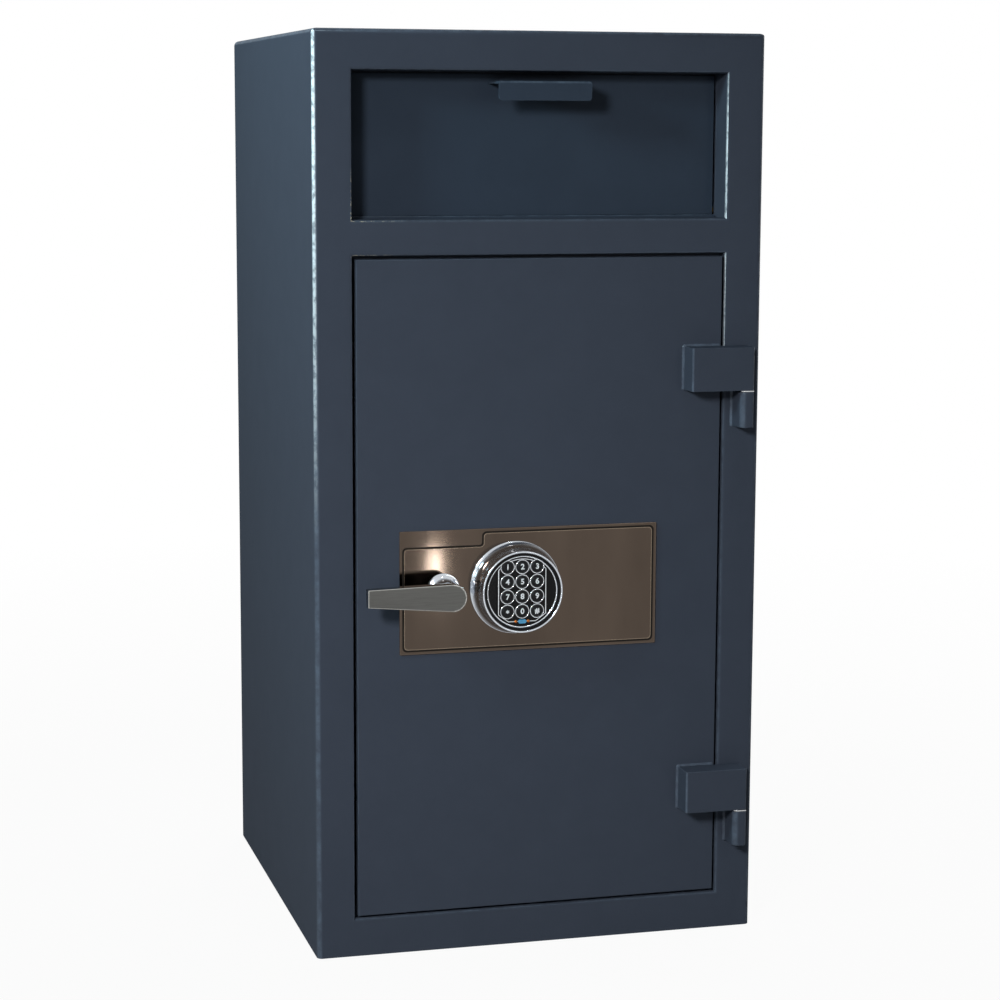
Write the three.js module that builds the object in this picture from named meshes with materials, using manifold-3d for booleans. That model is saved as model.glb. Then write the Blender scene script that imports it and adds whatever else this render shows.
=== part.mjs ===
// Drop safe with a tilting deposit hopper over a hinged door, 20 x 20 in on plan and 40 in tall.
// Millimetres. The origin is the middle of the footprint on the floor, +X is right seen from the
// front, the front faces -Y and +Z is up. It is drawn shut, with its locking bolts drawn back.
import * as THREE from "three";
import { mergeVertices } from "three/addons/utils/BufferGeometryUtils.js";
import Module from "manifold-3d";

// Body: a bent steel wrapper, a front plate with two windows, a back and a floor
const bodyWidth = 508;
const bodyDepth = 508;
const bodyHeight = 1016;
const wall = 6.35;
const outerBend = 6;
const stileWidth = 43;
const bottomRail = 42.5;
const crossRail = 39;
const topRail = 43.5;
const hopperOpening = 158;
const openingBend = 4;
const anchorHole = 14;
const anchorInset = 90;

// Clearances
const fit = 0.3;
const overrun = 2;

// Door jamb: a ring behind the front plate with a stop lip at head and sill
const jambWall = 4;
const stopLip = 12;
const stopThickness = 4;

// Door plate
const doorThickness = 12.7;
const doorGap = 3.2;
const doorEdge = 1.5;

// Hinges: a block on the door turns on a pin that stands in a knuckle on the stile
const hingeInset = 17;
const hingeStandOut = 30;
const hingeWidth = 15.5;
const leafLap = 43.8;
const leafHeight = 48;
const leafRelief = 2.2;
const leafCorner = 2.5;
const hingeBelowTop = 147.3;
const hingeAboveSill = 99.8;
const knuckleHeight = 40;
const knuckleRound = 7;
const knuckleDrop = 2;
const hingePin = 9;
const pinInKnuckle = 34;
const pinInLeaf = 32;
const washerWidth = 15;

// Dead bar on the hinge side of the door
const deadBarFoot = 20;
const deadBarTongue = 13;
const deadBarClear = 4;
const deadBarThickness = 9;
const deadBarOverlap = 7;
const deadBarAboveSill = 64.3;
const deadBarBelowTop = 72.3;

// Lever handle
const handleFromEdge = 95.8;
const handleAboveSill = 363.8;
const leverTip = 94;
const leverTipHeight = 20;
const leverTipLift = 3;
const leverEnd = 15.3;
const leverThickness = 12;
const leverStandOut = 50;
const leverEdge = 1.6;
const leverSocket = 6;
const neckFoot = 19;
const neckWaist = 9.5;
const neckTop = 11.5;
const neckFlareHeight = 18;
const spindleDiameter = 10;
const bushWall = 2.6;
const bushProud = 1.2;
const handleTurnAngle = 60;

// Cam on the spindle, with its crank pin
const camSetBack = 4.5;
const camThickness = 6;
const camHub = 11;
const camTip = 7.5;
const crankRadius = 20;
const crankPin = 8;
const crankPinLength = 10;

// Boltwork: a flange that carries three bolts, with a flat arm that reaches over the lock
const boltDiameter = 22;
const boltSetBack = 1.5;
const boltShort = 2.7;
const boltLength = 27;
const boltChamfer = 1.5;
const boltSpigot = 10;
const boltNames = ["lower", "middle", "upper"];
const boltAboveSill = 134.3;
const boltBelowTop = 142.3;
const barThickness = 6;
const barMargin = 34;
const armThickness = 4;
const armInset = 6;
const armLink = 16;
const armEnd = 6;
const slotMargin = 6;
const slotClearance = 0.5;

// Bolt guide: an angle welded on the door
const guideThickness = 3;
const guideFoot = 16;
const guideRim = 6.2;
const guideMargin = 50;
const guideFromEdge = 3.3;

// Lock, its bolt and the hard plate in front of it
const lockAside = 2;
const lockDrop = 57;
const lockWidth = 61;
const lockHeight = 85;
const lockDepth = 28;
const lockCorner = 4;
const lockBoltWidth = 24;
const lockBoltThickness = 8;
const lockBoltShows = 12;
const lockBoltHidden = 26;
const rampRiseShare = 0.5;
const rampLedge = 10;
const rampClearance = 0.5;
const hardPlateThickness = 4.5;
const hardPlateMargin = 7.5;

// Relocker: a spring plunger in a small case
const relockerWidth = 30;
const relockerHeight = 26;
const relockerDepth = 19;
const relockerGap = 8;
const plungerDiameter = 8;
const plungerLength = 5;

// Boltwork cover: a shallow tray over the inside of the door
const coverThickness = 2;
const coverClear = 0.9;
const coverGuideGap = 3.5;
const coverDeadBarGap = 9;
const coverAboveSill = 42.3;
const coverBelowTop = 54.3;

// Escutcheon plate
const plateWidth = 294.3;
const plateHeight = 137.2;
const plateBesideHandle = 48.8;
const plateBelowHandle = 70.2;
const plateThickness = 2;
const plateCorner = 1;

// Keypad: a bright dish with a black face and twelve keys
const keypadFromHandle = 82;
const keypadLift = 0.5;
const dishFoot = 52;
const dishRim = 45.5;
const dishInside = 40.5;
const dishHeight = 35;
const dishFloor = 3;
const rimWidth = 3;
const faceThickness = 3;
const faceSetBack = 4.5;
const membraneWidth = 57;
const membraneRise = 1;
const membraneInset = 2;
const membraneShoulder = 25;
const membraneTaper = 12;
const keyDiameter = 13.2;
const keyHeight = 6.5;
const keyProud = 1.6;
const keyRows = 4;
const keyColumns = 3;
const keyPitchX = 16.8;
const keyPitchZ = 16.5;
const keyGridLift = 3;
const keyDome = 1;
const boardThickness = 1.6;
const boardGap = 2.3;
const batteryWidth = 48.5;
const batteryHeight = 26.5;
const batteryDepth = 15;
const batteryDrop = 16;
const cableHole = 9;
const cableDiameter = 5;
const cableLift = 12;
const lightWidth = 9;
const lightHeight = 4.4;
const lightDrop = 33;
const lightDepth = 1.5;

// Deposit hopper
const panelSetBack = 38;
const panelThickness = 6;
const panelSideGap = 2.5;
const panelTopGap = 2;
const panelBottomGap = 2.5;
const panelEdge = 1.2;
const pivotRise = 5.5;
const pivotBehindPanel = 6.5;
const pivotDiameter = 8;
const pivotBoss = 8.5;
const cheekThickness = 3;
const cheekSetIn = 8;
const cheekClear = 9;
const trayThickness = 2.5;
const trayFlange = 30;
const trayShort = 3;
const traySlopeAngle = 30;
const hopperTiltAngle = 50;
const stopLugReach = 13;
const stopLugAngle = 5;
const pivotCollar = 12;
const pivotCollarGap = 0.6;
const pivotEnd = 2;

// Pull: a shelf with a turned-down lip
const pullWidth = 104;
const pullLip = 20.8;
const pullThickness = 3;
const pullProud = 8;
const pullBelowTop = 10;
const pullCorner = 4;

// Recess liner, chute sides, pivot bushes and the baffle against fishing
const recessWall = 4;
const recessLip = 9.5;
const recessLipThickness = 3;
const recessShort = 1.3;
const chuteWall = 4;
const chuteDrop = 34;
const bushingWall = 3;
const bushingFlange = 10;
const bushingFlangeThickness = 1.5;
const baffleThickness = 2.5;
const baffleGap = 5.7;
const baffleRise = 9.5;
const baffleFlange = 24;
const toothPitch = 20;
const toothHeight = 12;

// Facets of round pieces
const roundSides = 24;
const smallSides = 16;
const arcSteps = 3;

// Planes and edges that follow from the sizes above
const frontY = -bodyDepth / 2;
const backY = bodyDepth / 2;
const halfWidth = bodyWidth / 2;
const innerX = halfWidth - wall;
const frameBackY = frontY + wall;
const openingX = halfWidth - stileWidth;
const doorOpenTop = bodyHeight - topRail - hopperOpening - crossRail;
const recessBottom = doorOpenTop + crossRail;
const recessTop = recessBottom + hopperOpening;
const ceiling = bodyHeight - wall;
const doorX = openingX - doorGap;
const doorBottom = bottomRail + doorGap;
const doorTop = doorOpenTop - doorGap;
const doorBackY = frontY + doorThickness;
const jambBackY = doorBackY + fit + stopThickness;
const hingeAxisX = halfWidth - hingeInset - hingeWidth / 2;
const hingeAxisY = frontY - hingeStandOut / 2;
const handleX = -doorX + handleFromEdge;
const handleZ = doorBottom + handleAboveSill;
const keypadX = handleX + keypadFromHandle;
const keypadZ = handleZ + keypadLift;
const lockX = keypadX + lockAside;
const lockBottom = keypadZ - lockDrop;
const deadBarLeft = openingX + deadBarOverlap - deadBarTongue - deadBarFoot;
const spindleR = spindleDiameter / 2;
const camFrontY = doorBackY + camSetBack;
const camBackY = camFrontY + camThickness;
const boltR = boltDiameter / 2;
const boltY = jambBackY + boltSetBack + boltR;
const boltTipX = -doorX + boltShort;
const lowestBolt = doorBottom + boltAboveSill;
const highestBolt = doorTop - boltBelowTop;
const boltSpacing = (highestBolt - lowestBolt) / (boltNames.length - 1);
const boltPlaces = boltNames.map((_, i) => lowestBolt + i * boltSpacing);
const guideLeft = -doorX + guideFromEdge;
const barLeft = boltTipX + boltLength + fit;
const barRight = barLeft + barThickness;
const armY = boltY - boltR + armInset;
const pivotY = frontY + panelSetBack + panelThickness + pivotBehindPanel;
const pivotZ = recessBottom + pivotRise;
const panelFrontY = frontY + panelSetBack;
const panelBackY = panelFrontY + panelThickness;
const panelX = openingX - panelSideGap;
const cheekOuterX = openingX - cheekSetIn;
const cheekInnerX = cheekOuterX - cheekThickness;
const cheekRadius = hopperOpening - pivotRise - recessLip - cheekClear;
const seatOut = plateThickness + fit;
const faceOut = dishHeight - faceSetBack;
const membraneOut = faceOut + membraneRise;
const baffleY = pivotY + cheekRadius + baffleGap;
const chuteBackY = baffleY - fit;
const recessBackY = panelFrontY - recessShort;
const halfTurn = THREE.MathUtils.degToRad(handleTurnAngle / 2);
const throwLength = 2 * crankRadius * Math.sin(halfTurn);
const crankX = handleX + crankRadius * Math.sin(halfTurn);
const crankZ = handleZ + crankRadius * Math.cos(halfTurn);
const lockFrontY = doorBackY + fit + hardPlateThickness + fit;
const lockTop = lockBottom + lockHeight;

const wasm = await Module();
wasm.setup();

const radians = THREE.MathUtils.degToRad;
const bothSides = [["left", -1], ["right", 1]];

// A closed geometry as a solid that can be joined and cut
function solidOf(geometry) {
  const bare = geometry.clone();
  bare.deleteAttribute("normal");
  bare.deleteAttribute("uv");
  const merged = mergeVertices(bare);
  return new wasm.Manifold(
    new wasm.Mesh({
      numProp: 3,
      vertProperties: merged.attributes.position.array,
      triVerts: new Uint32Array(merged.index.array),
    }),
  );
}

// A solid back as a flat-shaded geometry
function geometryOf(solid) {
  const { vertProperties, triVerts, numProp } = solid.getMesh();
  const positions = new Float32Array(triVerts.length * 3);
  triVerts.forEach((vertex, i) => {
    for (let axis = 0; axis < 3; axis++) positions[i * 3 + axis] = vertProperties[vertex * numProp + axis];
  });
  const geometry = new THREE.BufferGeometry();
  geometry.setAttribute("position", new THREE.BufferAttribute(positions, 3));
  geometry.computeVertexNormals();
  return geometry;
}

function join(...geometries) {
  return geometries.map(solidOf).reduce((whole, piece) => whole.add(piece));
}

function cut(body, ...cutters) {
  const start = body.isBufferGeometry ? solidOf(body) : body;
  return cutters.map(solidOf).reduce((left, cutter) => left.subtract(cutter), start);
}

function common(...geometries) {
  return geometries.map(solidOf).reduce((whole, piece) => whole.intersect(piece));
}

// A box from its lowest to its highest corner
function block([x0, y0, z0], [x1, y1, z1]) {
  const box = new THREE.BoxGeometry(x1 - x0, y1 - y0, z1 - z0);
  return box.translate((x0 + x1) / 2, (y0 + y1) / 2, (z0 + z1) / 2);
}

// A rectangle whose corners are rounded: lower left, lower right, upper right, upper left
function rounded(u0, v0, u1, v1, radii) {
  const [a, b, c, d] = Array.isArray(radii) ? radii : [radii, radii, radii, radii];
  const shape = new THREE.Shape();
  shape.moveTo(u0 + a, v0);
  shape.lineTo(u1 - b, v0);
  if (b) shape.absarc(u1 - b, v0 + b, b, -Math.PI / 2, 0);
  shape.lineTo(u1, v1 - c);
  if (c) shape.absarc(u1 - c, v1 - c, c, 0, Math.PI / 2);
  shape.lineTo(u0 + d, v1);
  if (d) shape.absarc(u0 + d, v1 - d, d, Math.PI / 2, Math.PI);
  shape.lineTo(u0, v0 + a);
  if (a) shape.absarc(u0 + a, v0 + a, a, Math.PI, Math.PI * 1.5);
  return shape;
}

// An outline drawn straight from its corners
function outline(points) {
  return new THREE.Shape(points.map(([u, v]) => new THREE.Vector2(u, v)));
}

// A flat outline given thickness, its edges eased by a round of the given radius
function extrude(shape, thickness, edge = 0, steps = arcSteps) {
  return new THREE.ExtrudeGeometry(shape, {
    depth: thickness - 2 * edge,
    curveSegments: steps,
    bevelEnabled: edge > 0,
    bevelThickness: edge,
    bevelSize: edge,
    bevelOffset: -edge,
    bevelSegments: 2,
  }).translate(0, 0, edge);
}

// An outline in X and Z that fills y0 to y1
function alongY(shape, y0, y1, edge, steps) {
  return extrude(shape, y1 - y0, edge, steps).rotateX(Math.PI / 2).translate(0, y1, 0);
}

// An outline in Y and Z that fills x0 to x1
function alongX(shape, x0, x1, edge, steps) {
  const turn = new THREE.Matrix4().makeBasis(
    new THREE.Vector3(0, 1, 0),
    new THREE.Vector3(0, 0, 1),
    new THREE.Vector3(1, 0, 0),
  );
  return extrude(shape, x1 - x0, edge, steps).applyMatrix4(turn).translate(x0, 0, 0);
}

// An outline in X and Y that fills z0 to z1
function alongZ(shape, z0, z1, edge, steps) {
  return extrude(shape, z1 - z0, edge, steps).translate(0, 0, z0);
}

// A turned piece. Its profile is [radius, distance] pairs, the distance along +X, along +Z or, for
// "front", straight out of the front plane.
function turned(profile, direction, sides = roundSides) {
  const points = profile.map(([radius, along]) => new THREE.Vector2(radius, along));
  if (THREE.ShapeUtils.area(points) < 0) points.reverse();
  const closed = profile[0][0] > 0;
  if (closed) points.push(points[0].clone());
  const lathe = new THREE.LatheGeometry(points, sides);
  if (direction === "x") return lathe.rotateZ(-Math.PI / 2);
  if (direction === "z") return lathe.rotateX(Math.PI / 2);
  return lathe.rotateX(Math.PI).translate(0, frontY, 0);
}

// Round bars along each axis
function barX(radius, x0, x1, y, z, sides = smallSides) {
  return new THREE.CylinderGeometry(radius, radius, x1 - x0, sides)
    .rotateZ(-Math.PI / 2)
    .translate((x0 + x1) / 2, y, z);
}

function barY(radius, y0, y1, x, z, sides = smallSides) {
  return new THREE.CylinderGeometry(radius, radius, y1 - y0, sides).translate(x, (y0 + y1) / 2, z);
}

function barZ(radius, z0, z1, x, y, sides = smallSides) {
  return new THREE.CylinderGeometry(radius, radius, z1 - z0, sides)
    .rotateX(Math.PI / 2)
    .translate(x, y, (z0 + z1) / 2);
}

const finishes = {
  paint: { color: 0x39424c, roughness: 0.42, metalness: 0.1 },
  recess: { color: 0x303743, roughness: 0.45, metalness: 0.1 },
  plate: { color: 0x6b5e52, roughness: 0.16, metalness: 1 },
  chrome: { color: 0xc9ccd1, roughness: 0.08, metalness: 1 },
  brushed: { color: 0x8b8c8a, roughness: 0.32, metalness: 1 },
  steel: { color: 0x9a9b9c, roughness: 0.4, metalness: 1 },
  hard: { color: 0x5c5f63, roughness: 0.5, metalness: 1 },
  brass: { color: 0xb08d4a, roughness: 0.35, metalness: 1 },
  plastic: { color: 0x101114, roughness: 0.4, metalness: 0 },
  key: { color: 0x1a1b1f, roughness: 0.35, metalness: 0 },
  board: { color: 0x1f5a35, roughness: 0.5, metalness: 0 },
  lens: { color: 0x4aa8e0, roughness: 0.1, metalness: 0 },
};

const safe = new THREE.Group();

function add(name, shape, finish) {
  const geometry = shape.isBufferGeometry ? shape : geometryOf(shape);
  const mesh = new THREE.Mesh(geometry, new THREE.MeshStandardMaterial(finishes[finish]));
  mesh.name = name;
  safe.add(mesh);
  return mesh;
}

// The body's outer form: rounded upright front corners and rounded top edges
function envelope() {
  const plan = rounded(-halfWidth, frontY, halfWidth, backY, [outerBend, outerBend, 0, 0]);
  const side = rounded(frontY, 0, backY, bodyHeight, [0, 0, 0, outerBend]);
  const front = rounded(-halfWidth, 0, halfWidth, bodyHeight, [0, 0, outerBend, outerBend]);
  const upright = alongZ(plan, 0, bodyHeight);
  return common(upright, alongX(side, -halfWidth, halfWidth), alongY(front, frontY, backY));
}

// A plate wider than the body, with both windows in it and their front edges rolled over
function windowedPlate() {
  const plate = rounded(-bodyWidth, -bodyHeight, bodyWidth, bodyHeight * 2, 0);
  plate.holes.push(rounded(-openingX, bottomRail, openingX, doorOpenTop, 0));
  plate.holes.push(rounded(-openingX, recessBottom, openingX, recessTop, 0));
  return alongY(plate, frontY, frontY + 2 * wall, openingBend);
}

function buildBody() {
  const shape = envelope();
  const frontSlab = block(
    [-bodyWidth, frontY - overrun, -overrun],
    [bodyWidth, frameBackY, bodyHeight + overrun],
  );
  const inside = block([-innerX, frameBackY - overrun, -overrun], [innerX, backY + overrun, ceiling]);
  add("body_shell", shape.subtract(solidOf(frontSlab)).subtract(solidOf(inside)), "paint");
  add("front_frame", shape.intersect(solidOf(frontSlab)).intersect(solidOf(windowedPlate())), "paint");
  add("back_plate", block([-innerX, backY - wall, 0], [innerX, backY, ceiling]), "paint");

  const floor = rounded(-innerX, frameBackY, innerX, backY - wall, 0);
  const holes = [-1, 1].flatMap((side) => [-1, 1].map((end) => [side, end]));
  for (const [side, end] of holes) {
    const hole = new THREE.Path();
    const holeX = side * (halfWidth - anchorInset);
    hole.absarc(holeX, end * (bodyDepth / 2 - anchorInset), anchorHole / 2, 0, Math.PI * 2);
    floor.holes.push(hole);
  }
  add("floor_plate", alongZ(floor, 0, wall, 0, arcSteps * 2), "paint");
}

function buildJamb() {
  const ringOuter = rounded(
    -openingX - jambWall,
    bottomRail - jambWall,
    openingX + jambWall,
    doorOpenTop + jambWall,
    0,
  );
  ringOuter.holes.push(rounded(-openingX, bottomRail, openingX, doorOpenTop, 0));
  const lipFront = doorBackY + fit;
  const lipX = openingX + jambWall / 2;
  const sillLip = block(
    [-lipX, lipFront, bottomRail - jambWall / 2],
    [lipX, lipFront + stopThickness, bottomRail + stopLip],
  );
  const headLip = block(
    [-lipX, lipFront, doorOpenTop - stopLip],
    [lipX, lipFront + stopThickness, doorOpenTop + jambWall / 2],
  );
  add("door_jamb", join(alongY(ringOuter, frameBackY, jambBackY), sillLip, headLip), "paint");
}

function buildDoorPlate() {
  const plate = alongY(rounded(-doorX, doorBottom, doorX, doorTop, 0), frontY, doorBackY, doorEdge);
  const bore = barY(spindleR + bushWall + fit * 2, frontY - overrun, doorBackY + overrun, handleX, handleZ);
  const lead = barY(cableHole / 2, frontY - overrun, doorBackY + overrun, keypadX, keypadZ + cableLift);
  add("door_plate", cut(plate, bore, lead), "paint");
}

// One hinge: leaf on the door, knuckle on the stile, pin and bright washer between them
function buildHinge(place, bottomZ) {
  const half = hingeWidth / 2;
  const outY = frontY - hingeStandOut;
  const right = hingeAxisX + half;
  const shape = new THREE.Shape();
  const leafLeft = doorX - leafLap;
  shape.moveTo(leafLeft, frontY);
  shape.lineTo(leafLeft, outY + leafCorner);
  shape.absarc(leafLeft + leafCorner, outY + leafCorner, leafCorner, Math.PI, Math.PI * 1.5);
  shape.lineTo(right - leafCorner, outY);
  shape.absarc(right - leafCorner, outY + leafCorner, leafCorner, -Math.PI / 2, 0);
  const reliefY = frontY - leafRelief;
  shape.lineTo(right, reliefY - leafCorner);
  shape.absarc(right - leafCorner, reliefY - leafCorner, leafCorner, 0, Math.PI / 2);
  shape.lineTo(doorX, reliefY);
  shape.lineTo(doorX - leafRelief, frontY);
  const leaf = alongZ(shape, bottomZ, bottomZ + leafHeight, 0);
  const pinR = hingePin / 2;
  const bore = barZ(pinR + fit, bottomZ - overrun, bottomZ + pinInLeaf + fit, hingeAxisX, hingeAxisY);
  add("hinge_leaf_" + place, cut(leaf, bore), "paint");

  const top = bottomZ - knuckleDrop;
  const corners = [knuckleRound, leafCorner, 0, 0];
  const knuckle = rounded(hingeAxisX - half, outY, right, frontY, corners);
  const knuckleBody = alongZ(knuckle, top - knuckleHeight, top, 0);
  const socket = barZ(pinR + fit, top - pinInKnuckle - fit, top + overrun, hingeAxisX, hingeAxisY);
  add("hinge_knuckle_" + place, cut(knuckleBody, socket), "paint");

  const pin = barZ(pinR, top - pinInKnuckle, bottomZ + pinInLeaf, hingeAxisX, hingeAxisY);
  add("hinge_pin_" + place, pin, "steel");
  const washer = turned(
    [
      [pinR + fit, top + fit],
      [washerWidth / 2, top + fit],
      [washerWidth / 2, bottomZ - fit],
      [pinR + fit, bottomZ - fit],
    ],
    "z",
  ).translate(hingeAxisX, hingeAxisY, 0);
  add("hinge_washer_" + place, washer, "chrome");
}

function buildDeadBar() {
  const tip = openingX + deadBarOverlap;
  const barFront = jambBackY + deadBarClear;
  const barBack = barFront + deadBarThickness;
  const profile = outline([
    [deadBarLeft, doorBackY],
    [tip - deadBarTongue, doorBackY],
    [tip - deadBarTongue, barFront],
    [tip, barFront],
    [tip, barBack],
    [deadBarLeft, barBack],
  ]);
  const bottom = doorBottom + deadBarAboveSill;
  add("dead_bar", alongZ(profile, bottom, doorTop - deadBarBelowTop), "steel");
}

function buildEscutcheon() {
  const left = handleX - plateBesideHandle;
  const bottom = handleZ - plateBelowHandle;
  const shape = rounded(left, bottom, left + plateWidth, bottom + plateHeight, plateCorner);
  const plate = alongY(shape, frontY - plateThickness, frontY);
  const reach = plateThickness + overrun;
  const bore = barY(spindleR + fit * 3, frontY - reach, frontY + overrun, handleX, handleZ);
  const lead = barY(cableHole / 2, frontY - reach, frontY + overrun, keypadX, keypadZ + cableLift);
  add("escutcheon_plate", cut(plate, bore, lead), "plate");
}

// Lever, its flared neck, the spindle through the door and the bush that the spindle turns in
function buildHandle() {
  const tipX = handleX - leverTip;
  const tipZ = handleZ + leverTipLift;
  const shape = new THREE.Shape();
  shape.moveTo(handleX, handleZ - leverEnd);
  shape.absarc(handleX, handleZ, leverEnd, -Math.PI / 2, Math.PI / 2);
  shape.lineTo(tipX, tipZ + leverTipHeight / 2);
  shape.lineTo(tipX, tipZ - leverTipHeight / 2);
  const leverFrontY = frontY - leverStandOut;
  const leverBackY = leverFrontY + leverThickness;
  const lever = alongY(shape, leverFrontY, leverBackY, leverEdge, roundSides / 2);
  const socket = barY(spindleR + fit, leverBackY - leverSocket, leverBackY + overrun, handleX, handleZ);
  add("lever_handle", cut(lever, socket), "brushed");

  const neckLength = leverStandOut - leverThickness - fit;
  const profile = [[spindleR + fit, seatOut]];
  const flareSteps = 6;
  for (let i = 0; i <= flareSteps; i++) {
    const angle = (i / flareSteps) * (Math.PI / 2);
    profile.push([
      neckFoot - (neckFoot - neckWaist) * Math.sin(angle),
      seatOut + neckFlareHeight * (1 - Math.cos(angle)),
    ]);
  }
  profile.push([neckTop, neckLength], [spindleR + fit, neckLength]);
  add("handle_neck", turned(profile, "front").translate(handleX, 0, handleZ), "chrome");

  const spindleFrontY = leverBackY - leverSocket + fit;
  add("handle_spindle", barY(spindleR, spindleFrontY, camBackY, handleX, handleZ), "steel");

  const bushInner = spindleR + fit;
  const bushLength = doorThickness + bushProud;
  const bush = [
    [bushInner, -bushLength],
    [bushInner + bushWall, -bushLength],
    [bushInner + bushWall, 0],
    [bushInner, 0],
  ];
  add("spindle_bush", turned(bush, "front", smallSides).translate(handleX, 0, handleZ), "brass");
}

// Cam on the spindle, with the crank pin that drives the arm of the bolt bar
function buildCam() {
  const web = outline([
    [handleX - camTip, handleZ],
    [handleX + camHub, handleZ],
    [crankX + camTip, crankZ],
    [crankX - camTip, crankZ],
  ]);
  const cam = join(
    barY(camHub, camFrontY, camBackY, handleX, handleZ),
    barY(camTip, camFrontY, camBackY, crankX, crankZ),
    alongY(web, camFrontY, camBackY),
    barY(crankPin / 2, camFrontY, camBackY + crankPinLength, crankX, crankZ),
  );
  const bore = barY(spindleR + fit, camFrontY - overrun, camBackY + overrun, handleX, handleZ);
  add("spindle_cam", cut(cam, bore), "steel");
}

// Height of the ramp that the lock bolt follows, at a given x on the arm
function rampZ(x) {
  return lockTop + lockBoltShows + rampClearance + (x - lockX) * rampRiseShare;
}

function buildBoltwork() {
  const flange = block(
    [barLeft, boltY - boltR, lowestBolt - barMargin],
    [barRight, boltY + boltR, highestBolt + barMargin],
  );
  const slotLow = crankZ - crankPin / 2 - slotClearance;
  const slotHigh = handleZ + crankRadius + crankPin / 2 + slotClearance;
  const slotHalf = crankPin / 2 + slotClearance;
  const stepX = crankX + slotHalf + slotMargin;
  const rampStart = lockX - lockBoltWidth / 2 - rampLedge;
  const rampFinish = lockX + lockBoltWidth / 2 + throwLength;
  const armHigh = rampZ(rampFinish) + armLink;
  const root = barRight - barThickness / 2;
  const arm = outline([
    [root, slotLow - slotMargin],
    [stepX, slotLow - slotMargin],
    [stepX, rampZ(rampStart)],
    [rampStart, rampZ(rampStart)],
    [rampFinish, rampZ(rampFinish)],
    [rampFinish + armEnd, rampZ(rampFinish)],
    [rampFinish + armEnd, armHigh],
    [root, armHigh],
  ]);
  const slot = block(
    [crankX - slotHalf, armY - overrun, slotLow],
    [crankX + slotHalf, armY + armThickness + overrun, slotHigh],
  );
  const spigots = boltPlaces.map((z) =>
    barX(boltSpigot / 2 + fit, barLeft - overrun, barRight + overrun, boltY, z),
  );
  const bar = join(flange, alongY(arm, armY, armY + armThickness));
  add("bolt_bar", cut(bar, slot, ...spigots), "steel");

  boltPlaces.forEach((z, i) => {
    const spigotEnd = boltLength + fit + barThickness;
    const profile = [
      [0, 0],
      [boltR - boltChamfer, 0],
      [boltR, boltChamfer],
      [boltR, boltLength],
      [boltSpigot / 2, boltLength],
      [boltSpigot / 2, spigotEnd],
      [0, spigotEnd],
    ];
    add("locking_bolt_" + boltNames[i], turned(profile, "x").translate(boltTipX, boltY, z), "chrome");
  });

  const guideBack = boltY + boltR + guideRim;
  const angle = outline([
    [guideLeft, doorBackY],
    [guideLeft + guideFoot, doorBackY],
    [guideLeft + guideFoot, doorBackY + guideThickness],
    [guideLeft + guideThickness, doorBackY + guideThickness],
    [guideLeft + guideThickness, guideBack],
    [guideLeft, guideBack],
  ]);
  const guide = alongZ(angle, lowestBolt - guideMargin, highestBolt + guideMargin);
  const bores = boltPlaces.map((z) =>
    barX(boltR + fit, guideLeft - overrun, guideLeft + guideThickness + overrun, boltY, z, roundSides),
  );
  add("bolt_guide", cut(guide, ...bores), "steel");

  buildRelocker(rampFinish + armEnd, armHigh);
}

// Relocker beside the end of the arm
function buildRelocker(armRight, armHigh) {
  const left = armRight + relockerGap;
  const plungerZ = armHigh - relockerHeight / 2;
  const front = doorBackY + fit;
  const body = block(
    [left, front, plungerZ - relockerHeight / 2],
    [left + relockerWidth, front + relockerDepth, plungerZ + relockerHeight / 2],
  );
  const plungerY = armY + armThickness / 2;
  const plunger = barX(plungerDiameter / 2, left - plungerLength, left + overrun, plungerY, plungerZ);
  add("relocker", join(body, plunger), "steel");
}

function buildLock() {
  const half = lockWidth / 2;
  const boltHalf = lockBoltWidth / 2;
  const boltFront = armY + armThickness / 2 - lockBoltThickness / 2;
  const pocketBottom = lockTop - lockBoltHidden - lockBoltShows;
  const body = alongY(
    rounded(lockX - half, lockBottom, lockX + half, lockTop, lockCorner),
    lockFrontY,
    lockFrontY + lockDepth,
  );
  const pocket = block(
    [lockX - boltHalf - fit, boltFront - fit, pocketBottom],
    [lockX + boltHalf + fit, boltFront + lockBoltThickness + fit, lockTop + overrun],
  );
  add("lock_body", cut(body, pocket), "steel");

  const tip = lockTop + lockBoltShows;
  const bolt = outline([
    [lockX - boltHalf, lockTop - lockBoltHidden],
    [lockX + boltHalf, lockTop - lockBoltHidden],
    [lockX + boltHalf, tip + boltHalf * rampRiseShare],
    [lockX - boltHalf, tip - boltHalf * rampRiseShare],
  ]);
  add("lock_bolt", alongY(bolt, boltFront, boltFront + lockBoltThickness), "brass");

  const hardFront = doorBackY + fit;
  const hard = block(
    [lockX - half - hardPlateMargin, hardFront, lockBottom - hardPlateMargin],
    [lockX + half + hardPlateMargin, hardFront + hardPlateThickness, lockTop + hardPlateMargin],
  );
  const lead = barY(
    cableHole / 2,
    hardFront - overrun,
    hardFront + hardPlateThickness + overrun,
    keypadX,
    keypadZ + cableLift,
  );
  add("hard_plate", cut(hard, lead), "hard");
}

function buildCover() {
  const back = lockFrontY + lockDepth + coverClear + coverThickness;
  const left = guideLeft + guideThickness + coverGuideGap;
  const right = deadBarLeft - coverDeadBarGap;
  const bottom = doorBottom + coverAboveSill;
  const top = doorTop - coverBelowTop;
  const sheet = block([left, back - coverThickness, bottom], [right, back, top]);
  const sill = block([left, doorBackY, bottom], [right, back, bottom + coverThickness]);
  const head = block([left, doorBackY, top - coverThickness], [right, back, top]);
  const side = block([right - coverThickness, doorBackY, bottom], [right, back, top]);
  add("boltwork_cover", join(sheet, sill, head, side), "paint");
}

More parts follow.
